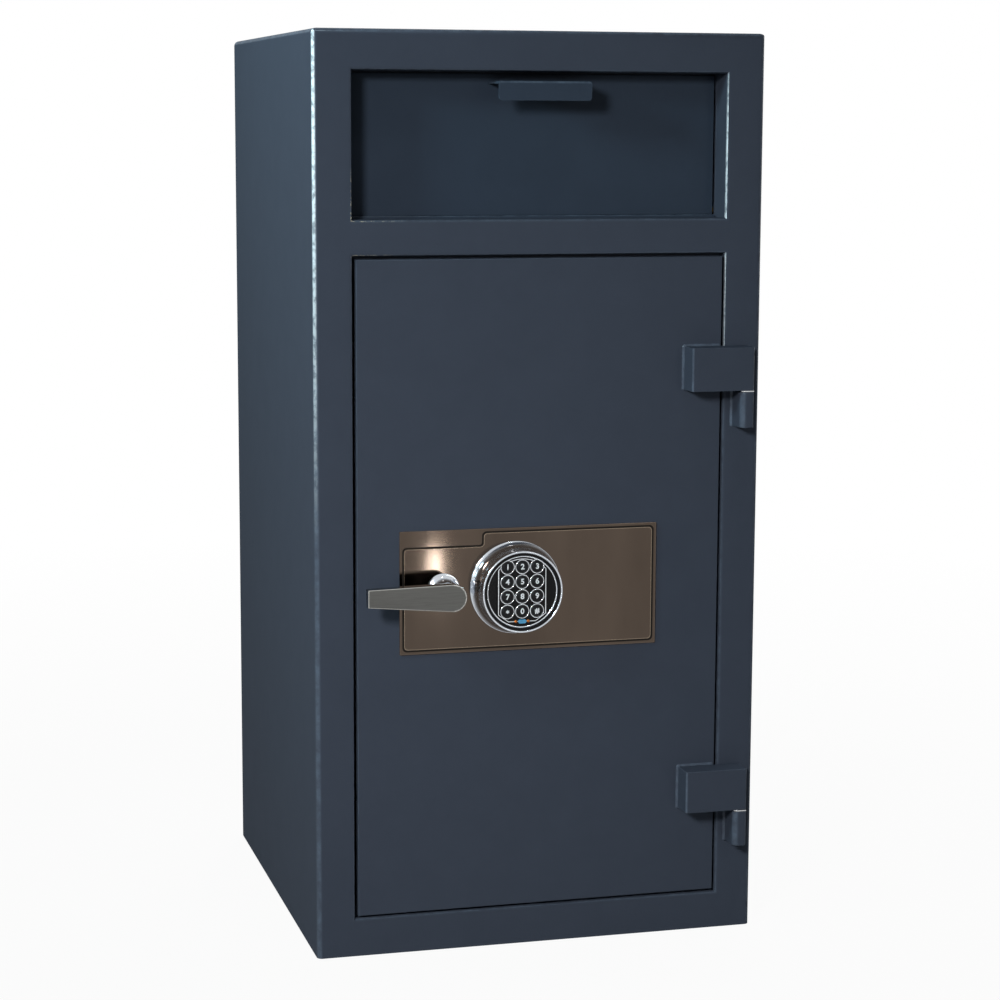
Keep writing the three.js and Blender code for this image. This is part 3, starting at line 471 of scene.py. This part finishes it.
def soft_edges():
    """A node group that smooths a mesh, but keeps its edges over the angle sharp."""
    tree = bpy.data.node_groups.new("soft_edges", "GeometryNodeTree")
    tree.interface.new_socket("Geometry", in_out="INPUT", socket_type="NodeSocketGeometry")
    tree.interface.new_socket("Geometry", in_out="OUTPUT", socket_type="NodeSocketGeometry")
    start = tree.nodes.new("NodeGroupInput")
    end = tree.nodes.new("NodeGroupOutput")
    smooth = tree.nodes.new("GeometryNodeSetShadeSmooth")
    angle = tree.nodes.new("GeometryNodeInputMeshEdgeAngle")
    over = tree.nodes.new("FunctionNodeCompare")
    over.operation = "GREATER_THAN"
    over.inputs[1].default_value = SHARP_ANGLE
    sharp = tree.nodes.new("GeometryNodeSetShadeSmooth")
    sharp.domain = "EDGE"
    sharp.inputs["Shade Smooth"].default_value = False
    tree.links.new(start.outputs[0], smooth.inputs[0])
    tree.links.new(smooth.outputs[0], sharp.inputs[0])
    tree.links.new(angle.outputs[0], over.inputs[0])
    tree.links.new(over.outputs[0], sharp.inputs["Selection"])
    tree.links.new(sharp.outputs[0], end.inputs[0])
    return tree


smoothing = soft_edges()


def soften(piece, width=0.0):
    """Welds a mesh's faces together and smooths it. With a width, its sharp edges are eased by it too."""
    weld = piece.modifiers.new("weld", "WELD")
    weld.merge_threshold = MERGE_DISTANCE
    if width:
        flat = piece.modifiers.new("flat", "DECIMATE")
        flat.decimate_type = "DISSOLVE"
        flat.angle_limit = FLAT_ANGLE
        bevel = piece.modifiers.new("ease", "BEVEL")
        bevel.width = width
        bevel.segments = 2
        bevel.limit_method = "ANGLE"
        bevel.angle_limit = SHARP_ANGLE
    smooth = piece.modifiers.new("smooth", "NODES")
    smooth.node_group = smoothing
    even = piece.modifiers.new("even", "WEIGHTED_NORMAL")
    even.keep_sharp = True


# How far edges are eased where that isn't EASED_EDGE, and the solids that come with rounded edges
edge_of_node = {
    "hinge_leaf_upper": 1.1 * MM,
    "hinge_leaf_lower": 1.1 * MM,
    "hinge_knuckle_upper": 1.1 * MM,
    "hinge_knuckle_lower": 1.1 * MM,
    "hopper_pull": 0.6 * MM,
    "escutcheon_plate": 0.5 * MM,
    "lock_body": 0.8 * MM,
    "keypad_battery": 1.2 * MM,
    "dead_bar": 0.8 * MM,
}
already_round = ("body_shell", "front_frame", "door_plate", "hopper_panel", "lever_handle", "floor_plate")


def dress_nodes():
    """Gives each CAD piece its material and its softened edges."""
    for name, piece in nodes.items():
        piece.data.materials.clear()
        piece.data.materials.append(finish_for(name))
        soften(piece, 0.0 if name in already_round else edge_of_node.get(name, EASED_EDGE))


# Meshes for the added fittings

def put(mesh, name, material, body):
    """Makes a piece from a bmesh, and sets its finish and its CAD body."""
    bmesh.ops.recalc_face_normals(mesh, faces=mesh.faces)
    data = bpy.data.meshes.new(name)
    mesh.to_mesh(data)
    mesh.free()
    data.materials.append(material)
    piece = bpy.data.objects.new(name, data)
    bpy.context.scene.collection.objects.link(piece)
    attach(piece, body)
    return piece


def lathe(profile, centre, sides=FINE_SIDES):
    """A mesh turned about the line along -Y through the centre. The profile is [radius, distance] pairs."""
    mesh = bmesh.new()
    turn = [2 * math.pi * i / sides for i in range(sides)]
    rings = []
    for radius, out in profile:
        y = centre.y - out
        if radius == 0:
            rings.append([mesh.verts.new((centre.x, y, centre.z))])
            continue
        spots = [(centre.x + radius * math.cos(a), y, centre.z + radius * math.sin(a)) for a in turn]
        rings.append([mesh.verts.new(spot) for spot in spots])
    for low, high in zip(rings, rings[1:]):
        for i in range(sides):
            j = (i + 1) % sides
            corners = [low[i % len(low)], low[j % len(low)], high[j % len(high)], high[i % len(high)]]
            mesh.faces.new(list(dict.fromkeys(corners)))
    return mesh


def ribbon(points, width, front, back):
    """A closed flat band of even width that follows a closed line of (x, z) points."""
    mesh = bmesh.new()
    loops = []
    count = len(points)
    for offset, y in ((-width / 2, front), (width / 2, front), (width / 2, back), (-width / 2, back)):
        loop = []
        for i, point in enumerate(points):
            along = (Vector(points[(i + 1) % count]) - Vector(points[i - 1])).normalized()
            before = (Vector(point) - Vector(points[i - 1])).normalized()
            side = Vector((-along.y, along.x))
            stretch = 1 / max(LEAST_MITRE, side.dot(Vector((-before.y, before.x))))
            spot = Vector(point) + side * offset * stretch
            loop.append(mesh.verts.new((spot.x, y, spot.y)))
        loops.append(loop)
    for first, second in zip(loops, loops[1:] + loops[:1]):
        for i in range(count):
            j = (i + 1) % count
            mesh.faces.new((first[i], first[j], second[j], second[i]))
    return mesh


def corner_arc(corner, before, after, radius, steps=5):
    """Points that round an outline's corner."""
    corner, before, after = Vector(corner), Vector(before), Vector(after)
    to_before = (before - corner).normalized()
    to_after = (after - corner).normalized()
    start = corner + to_before * radius
    end = corner + to_after * radius
    middle = corner + (to_before + to_after) * radius
    points = []
    for i in range(steps + 1):
        share = i / steps
        spoke = (start - middle).lerp(end - middle, share).normalized() * radius
        points.append(tuple(middle + spoke))
    return points


def round_outline(corners, radius):
    """An outline's points with all its corners rounded."""
    count = len(corners)
    rounded = [
        corner_arc(corners[i], corners[i - 1], corners[(i + 1) % count], radius) for i in range(count)
    ]
    return [point for arc in rounded for point in arc]


def border_line(low, high, inset):
    """The outline of the plate's border, that far in from its edges and stepped down at its upper left."""
    left, right = low.x + inset, high.x - inset
    bottom, top = low.z + inset, high.z - inset
    step = low.x + NOTCH_WIDTH - BORDER_INSET + inset
    corners = [
        (left, bottom),
        (right, bottom),
        (right, top),
        (step, top),
        (step, top - NOTCH_DROP),
        (left, top - NOTCH_DROP),
    ]
    return round_outline(corners, BORDER_CORNER)


def add_border():
    """The etched line round the plate, and a lighter strip along its inner edge that paints the groove's
    highlight.
    """
    low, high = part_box("escutcheon_plate")
    front, back = low.y - BORDER_PROUD, low.y + LINE_BURIED
    line = border_line(low, high, BORDER_INSET)
    put(ribbon(line, BORDER_WIDTH, front, back), "plate_border", etched, "door")
    line = border_line(low, high, BORDER_INSET + (BORDER_WIDTH + BORDER_PAINTED_GLINT) / 2)
    put(ribbon(line, BORDER_PAINTED_GLINT, front, back), "border_painted_glint", painted_glint_metal, "door")


def quarter(start, end, bulge, steps=6):
    """Points on a quarter ellipse from start to end. The bulge is the corner that they round."""
    points = []
    for i in range(steps + 1):
        angle = i / steps * math.pi / 2
        rise, run = math.sin(angle), math.cos(angle)
        points.append(tuple(
            s * (1 - rise) + e * (1 - run) + b * (rise + run - 1) for s, e, b in zip(start, end, bulge)
        ))
    return points


def add_dish(centre, foot, tall, well):
    """The keypad's bright dish, with a flared flank and a round rim, and the black band inside the rim."""
    rim = well + DISH_SHELL
    rim_top = rim - RIM_RING / 2
    rim_inside = rim - RIM_RING
    shoulder = tall - RIM_RING / 2
    profile = [(0, 0)]
    profile += quarter((foot, 0), (foot - DISH_FOOT_ROLL / 2, DISH_FOOT_ROLL), (foot, DISH_FOOT_ROLL))
    flank_foot = profile[-1]
    steps = 14
    for i in range(1, steps + 1):
        share = i / steps
        radius = rim + (flank_foot[0] - rim) * (1 - share) ** DISH_FLARE
        profile.append((radius, flank_foot[1] + (shoulder - flank_foot[1]) * share))
    profile += quarter((rim, shoulder), (rim_top, tall), (rim, tall))
    profile += quarter((rim_top, tall), (rim_inside, shoulder), (rim_inside, tall))
    band_floor = tall - BAND_DEPTH
    profile += [(rim_inside, band_floor), (well + DISH_CLEAR, band_floor), (well, band_floor)]
    profile += [(well, DISH_WELL_DEPTH), (0, DISH_WELL_DEPTH)]
    dish = put(lathe(profile, centre), "keypad_dish", chrome, "door")
    soften(dish)
    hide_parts("keypad_housing")
    band_inside = well - DISH_CLEAR
    band_outside = rim_inside - DISH_CLEAR / 3
    band_top = tall - BAND_DEPTH / 2
    band = [
        (band_inside, band_floor),
        (band_outside, band_floor),
        (band_outside, band_top),
        (band_inside, band_top),
        (band_inside, band_floor),
    ]
    soften(put(lathe(band, centre), "dish_band", black_gloss, "door"))


def ring_profile(inner, outer, root, top):
    """A ring's closed section: its root, upright sides and rounded top."""
    middle = (inner + outer) / 2
    half = (outer - inner) / 2
    return [
        (inner, root),
        (outer, root),
        *quarter((outer, top - half), (middle, top), (outer, top), 4),
        *quarter((middle, top), (inner, top - half), (inner, top), 4)[1:],
        (inner, root),
    ]


def add_keypad():
    """The dish, the face's rings and silver line, each key's ring and digit, and the lamp's contacts."""
    low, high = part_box("keypad_housing")
    centre = Vector(((low.x + high.x) / 2, high.y, (low.z + high.z) / 2))
    face_low, face_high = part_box("keypad_face")
    well = (face_high.x - face_low.x) / 2 + DISH_CLEAR
    add_dish(centre, (high.x - low.x) / 2, high.y - low.y, well)

    face = Vector((centre.x, face_low.y, centre.z))
    outer = well - DISH_CLEAR
    ring = lathe(ring_profile(outer - FACE_RING, outer, -RING_ROOT, FACE_RING_HEIGHT), face)
    soften(put(ring, "face_ring", bright_chrome, "door"))
    for i, digit in enumerate(DIGITS):
        name = f"key_{i + 1:02d}"
        key_low, key_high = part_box(name)
        spot = Vector(((key_low.x + key_high.x) / 2, face.y, (key_low.z + key_high.z) / 2))
        inner = (key_high.x - key_low.x) / 2 + KEY_RING_GAP
        ring = lathe(ring_profile(inner, inner + KEY_RING, -RING_ROOT, KEY_RING_PROUD), spot, RING_SIDES)
        soften(put(ring, "key_ring_" + name[-2:], bright_chrome, "door"))
        add_digit(digit, name, spot, key_low.y)

    light_low, light_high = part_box("status_light")
    for name, x in (("left", light_low.x - CONTACT_GAP), ("right", light_high.x + CONTACT_GAP)):
        spot = Vector((x, face.y, (light_low.z + light_high.z) / 2))
        stud = [(0, -RING_ROOT), (CONTACT_RADIUS, -RING_ROOT)]
        stud += quarter((CONTACT_RADIUS, 0), (0, CONTACT_RADIUS / 2), (CONTACT_RADIUS, CONTACT_RADIUS / 2))
        soften(put(lathe(stud, spot, SMALL_SIDES), "lamp_contact_" + name, copper, "door"))
    add_membrane_line(face)


def add_digit(digit, name, centre, front):
    """The digit printed on a key, which moves with it."""
    curve = bpy.data.curves.new("digit_" + name[-2:], "FONT")
    curve.body = digit
    curve.size = DIGIT_SIZE
    curve.align_x = "CENTER"
    curve.align_y = "CENTER"
    curve.bevel_depth = DIGIT_WEIGHT
    curve.bevel_resolution = 1
    curve.materials.append(print_white)
    piece = bpy.data.objects.new("digit_" + name[-2:], curve)
    piece.rotation_euler = (math.radians(90), 0, 0)
    piece.location = (centre.x, front, centre.z - (STAR_DROP if digit == "*" else 0.0))
    bpy.context.scene.collection.objects.link(piece)
    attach(piece, name)


def add_membrane_line(face):
    """A silver line on the black face: arched top, straight sides and a tapered foot."""
    shoulder = math.acos(MEMBRANE_HALF_WIDTH / MEMBRANE_RADIUS)
    foot_z = -math.sqrt(MEMBRANE_RADIUS ** 2 - MEMBRANE_FOOT ** 2)
    steps = 24
    arch = []
    for i in range(steps + 1):
        angle = shoulder + (math.pi - 2 * shoulder) * i / steps
        arch.append((MEMBRANE_RADIUS * math.cos(angle), MEMBRANE_RADIUS * math.sin(angle)))
    line = [
        (-MEMBRANE_FOOT, foot_z),
        (MEMBRANE_FOOT, foot_z),
        (MEMBRANE_HALF_WIDTH, -MEMBRANE_BEND),
        *arch,
        (-MEMBRANE_HALF_WIDTH, -MEMBRANE_BEND),
    ]
    line = [(face.x + x, face.z + z) for x, z in line]
    mesh = ribbon(line, MEMBRANE_LINE, face.y - LINE_PROUD, face.y + LINE_BURIED)
    put(mesh, "membrane_line", bright_chrome, "door")


def add_neck():
    """The lever's flared neck, turned finer than the solid."""
    low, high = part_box("handle_neck")
    centre = Vector(((low.x + high.x) / 2, high.y, (low.z + high.z) / 2))
    foot = (high.x - low.x) / 2
    length = high.y - low.y
    waist = foot / 2
    head = waist + NECK_HEAD
    profile = [(NECK_BORE, 0), *quarter((foot, 0), (waist, NECK_FLARE), (waist, 0), 16)]
    profile += [(head, length - NECK_HEAD / 2), (head, length), (NECK_BORE, length), (NECK_BORE, 0)]
    neck = put(lathe(profile, centre, NECK_SIDES), "flared_neck", chrome, "handle")
    soften(neck)
    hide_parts("handle_neck")


def weld_bead(name, points, out, material, body):
    """A rippled fillet along a line of points. out gives the way it faces on each stretch of the line."""
    spots = []
    for (start, end), side in zip(zip(points, points[1:]), out):
        start, end = Vector(start), Vector(end)
        count = max(2, round((end - start).length / WELD_STEP))
        spots += [(start.lerp(end, i / count), Vector(side)) for i in range(count + 1)]
    front = Vector((0, -1, 0))
    mesh = bmesh.new()
    sections = []
    for spot, side in spots:
        size = WELD_SIZE + WELD_RIPPLE * noise.noise(spot / WELD_STEP)
        section = [spot + side * size, spot + (side + front) * size / 2, spot + front * size]
        section.append(spot - (side + front) * WELD_ROOT)
        sections.append([mesh.verts.new(place) for place in section])
    for first, second in zip(sections, sections[1:]):
        for i in range(len(first)):
            j = (i + 1) % len(first)
            mesh.faces.new((first[i], first[j], second[j], second[i]))
    mesh.faces.new(sections[0])
    mesh.faces.new(list(reversed(sections[-1])))
    bmesh.ops.remove_doubles(mesh, verts=mesh.verts, dist=BEAD_MERGE_DISTANCE)
    soften(put(mesh, name, material, body))


def add_hinge_welds():
    """The beads round the hinge leaves on the door and round the knuckles on the frame."""
    for place in ("upper", "lower"):
        low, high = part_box("hinge_leaf_" + place)
        right = door_high.x - LEAF_WELD_STOP
        face = high.y
        path = [(right, face, high.z), (low.x, face, high.z), (low.x, face, low.z), (right, face, low.z)]
        ways = [(0, 0, 1), (-1, 0, 0), (0, 0, -1)]
        weld_bead("leaf_weld_" + place, path, ways, coat, "door")
        low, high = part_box("hinge_knuckle_" + place)
        face = high.y
        path = [(low.x, face, high.z), (low.x, face, low.z), (high.x, face, low.z), (high.x, face, high.z)]
        ways = [(-1, 0, 0), (0, 0, -1), (1, 0, 0)]
        weld_bead("knuckle_weld_" + place, path, ways, coat, "body")


def bar(outline, ends, place):
    """A closed outline drawn out between two ends.

    place turns the two numbers of an outline's point, and an end, into a spot.
    """
    mesh = bmesh.new()
    first, second = ([mesh.verts.new(place(a, b, end)) for a, b in outline] for end in ends)
    for i in range(len(outline)):
        j = (i + 1) % len(outline)
        mesh.faces.new((first[i], first[j], second[j], second[i]))
    mesh.faces.new(first)
    mesh.faces.new(list(reversed(second)))
    return mesh


def add_sill():
    """The lip on the recess floor that hides the slot under the hopper panel, clear of its swing."""
    back = panel_low.y - SILL_AHEAD
    front = back - SILL_WIDTH
    foot = panel_low.z - SILL_SLOT
    top = foot + SILL_HEIGHT
    half = SILL_WIDTH / 2
    outline = [(back, foot - SILL_ROOT), (back, top - half)]
    outline += quarter((back, top - half), (back - half, top), (back, top), 4)[1:]
    outline += quarter((back - half, top), (front, top - half), (front, top), 4)[1:]
    outline.append((front, foot - SILL_ROOT))
    mesh = bar(outline, (panel_low.x, panel_high.x), lambda y, z, x: (x, y, z))
    soften(put(mesh, "recess_sill", shaded_recess_coat, "body"))


def add_bearing_shims():
    """The bright shim between each hinge leaf and its knuckle, as wide as the knuckle."""
    for place in ("upper", "lower"):
        low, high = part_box("hinge_knuckle_" + place)
        washer_low, washer_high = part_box("hinge_washer_" + place)
        left, right = low.x + SHIM_INSET, high.x - SHIM_INSET
        front, back = low.y + SHIM_INSET, high.y - SHIM_INSET
        outline = [(left, back), (right, back), (right, front)]
        outline += corner_arc((left, front), (right, front), (left, back), SHIM_CORNER, 8)
        mesh = bar(outline, (washer_low.z, washer_high.z), lambda x, y, z: (x, y, z))
        shim = put(mesh, "bearing_shim_" + place, plating, "body")
        soften(shim, SHIM_EDGE)
        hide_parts("hinge_washer_" + place)


def add_cover_screws():
    """Pan-head screws that hold the boltwork cover, seen with the door open."""
    low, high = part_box("boltwork_cover")
    crown = [(0, SCREW_ROOT), (SCREW_RADIUS, SCREW_ROOT)]
    head, socket_floor = -SCREW_HEIGHT, -SCREW_HEIGHT / 2
    crown += quarter((SCREW_RADIUS, socket_floor), (SCREW_SOCKET, head), (SCREW_RADIUS, head))
    crown += [(SCREW_SOCKET, socket_floor), (0, socket_floor)]
    columns = (low.x + SCREW_INSET, high.x - SCREW_INSET)
    rise = (high.z - low.z - 2 * SCREW_INSET) / (SCREW_ROWS - 1)
    for column, x in enumerate(columns):
        for row in range(SCREW_ROWS):
            centre = Vector((x, high.y, low.z + SCREW_INSET + rise * row))
            name = f"cover_screw_{column * SCREW_ROWS + row + 1}"
            soften(put(lathe(crown, centre, SMALL_SIDES), name, zinc, "door"))


# Studio

def shows_background(s):
    """1 for camera, glossy and transmission rays, which see the white studio."""
    path = s.add("ShaderNodeLightPath").outputs
    seen = s.calc("MAXIMUM", path["Is Camera Ray"], path["Is Glossy Ray"])
    return s.calc("MAXIMUM", seen, path["Is Transmission Ray"])


def add_floor():
    """A pale floor that keeps the safe's shadow and runs out to the white of the background."""
    s = Shader("floor")
    s.set(Base_Color=srgb("9C9C9A"), Roughness=0.8, Specular_IOR_Level=0.1)
    away = s.add("ShaderNodeVectorMath", {"operation": "LENGTH"})
    s.feed(away, "0", s.add("ShaderNodeTexCoord").outputs["Object"])
    white_share = s.span(away.outputs["Value"], FLOOR_NEAR, FLOOR_FAR, FLOOR_WHITE_SHARE, 1.0)
    glow = s.add("ShaderNodeEmission", Color=WHITE, Strength=1.0)
    mix = s.add("ShaderNodeMixShader")
    s.feed(mix, "0", s.calc("MULTIPLY", shows_background(s), white_share))
    s.feed(mix, "1", s.surface.outputs[0])
    s.feed(mix, "2", glow.outputs[0])
    s.feed(s.tree.nodes["Material Output"], "Surface", mix.outputs[0])
    half = FLOOR_SIZE / 2
    corners = [(-half, -half, 0), (half, -half, 0), (half, half, 0), (-half, half, 0)]
    mesh = bpy.data.meshes.new("floor")
    mesh.from_pydata(corners, [], [(0, 1, 2, 3)])
    mesh.materials.append(s.material)
    floor = bpy.data.objects.new("floor", mesh)
    bpy.context.scene.collection.objects.link(floor)


def add_world():
    """A white studio to the camera and to reflections, and a soft even light to the rest."""
    world = bpy.data.worlds.new("studio")
    bpy.context.scene.world = world
    s = Shader("studio", world)
    background = s.tree.nodes["Background"]
    s.feed(background, "Color", s.blend(shows_background(s), SOFT_LIGHT, WHITE))
    s.feed(background, "Strength", 1.0)


COOL = (0.66, 0.93, 1.0)
PLAIN = (1.0, 1.0, 1.0)

# Each lamp's place, aim, width and height, power in watts and colour, and its spread in degrees where
# that is narrowed
LAMPS = {
    "key": ((-1.50, -2.32, 1.50), (-0.12, -0.25, 0.25), (0.4, 0.4), 9.5, PLAIN, 70),
    "strip": ((-1.10, -2.45, 0.35), (0.0, -0.25, 0.30), (0.2, 0.5), 2, PLAIN),
    "left": ((-1.90, -0.85, 1.65), (-0.10, -0.20, 1.15), (0.35, 0.35), 6, COOL, 80),
    "side": ((-1.10, 0.15, 1.60), (-0.25, 0.05, 1.2), (0.4, 0.4), 4.2, COOL, 130),
    "edge": ((-1.85, -0.52, 0.95), (-0.25, -0.25, 0.9), (0.25, 0.3), 1.5, COOL),
    "streak": ((0.95, -2.80, 0.90), (0.1, -0.25, 0.4), (0.12, 1.2), 2, PLAIN),
    "glint": ((0.204, -1.60, 0.194), (-0.123, -0.25, 0.439), (0.02, 0.04), 0.11, PLAIN),
    "top": ((0.15, -1.00, 2.40), (-0.1, -0.28, 0.5), (0.12, 0.12), 2.5, PLAIN),
    "right": ((2.0, 0.50, 0.95), (0.25, 0.0, 0.5), (1.0, 1.0), 20, PLAIN),
    "rear": ((0.9, 2.20, 1.20), (0.0, 0.25, 0.5), (1.0, 1.0), 28, PLAIN),
    "over": ((0.1, 0.90, 2.30), (0.0, 0.1, 1.0), (0.7, 0.7), 10, PLAIN),
}


def add_lamp(name, place, aim, size, power, colour, spread=180):
    """A rectangular lamp that faces its aim."""
    data = bpy.data.lights.new(name, "AREA")
    data.shape = "RECTANGLE"
    data.size, data.size_y = size
    data.energy = power
    data.color = colour
    data.spread = math.radians(spread)
    lamp = bpy.data.objects.new(name, data)
    lamp.location = place
    lamp.rotation_euler = (Vector(aim) - Vector(place)).to_track_quat("-Z", "Y").to_euler()
    bpy.context.scene.collection.objects.link(lamp)


def add_camera():
    """The photograph's camera, from a fit to the safe's corners."""
    yaw, pitch, roll = (math.radians(a) for a in (15.11, -8.53, -0.24))
    place = Vector((-0.764, -2.909, 0.920))
    focal_pixels, frame_pixels, sensor = 2529, 1000, 36
    forward = Vector((math.sin(yaw) * math.cos(pitch), math.cos(yaw) * math.cos(pitch), math.sin(pitch)))
    level = Vector((math.cos(yaw), -math.sin(yaw), 0))
    down = forward.cross(level)
    right = level * math.cos(roll) + down * math.sin(roll)
    up = level * math.sin(roll) - down * math.cos(roll)
    turn = Matrix((right, up, -forward)).transposed().to_4x4()
    data = bpy.data.cameras.new("camera")
    data.sensor_width = sensor
    data.lens = sensor * focal_pixels / frame_pixels
    camera = bpy.data.objects.new("camera", data)
    camera.matrix_world = Matrix.Translation(place) @ turn
    bpy.context.scene.collection.objects.link(camera)
    bpy.context.scene.camera = camera


add_camera()
dress_nodes()
add_border()
add_keypad()
add_neck()
add_hinge_welds()
add_sill()
add_bearing_shims()
add_cover_screws()
add_floor()
add_world()
for lamp_name, values in LAMPS.items():
    add_lamp(lamp_name, *values)

bpy.context.scene.view_settings.view_transform = "Standard"
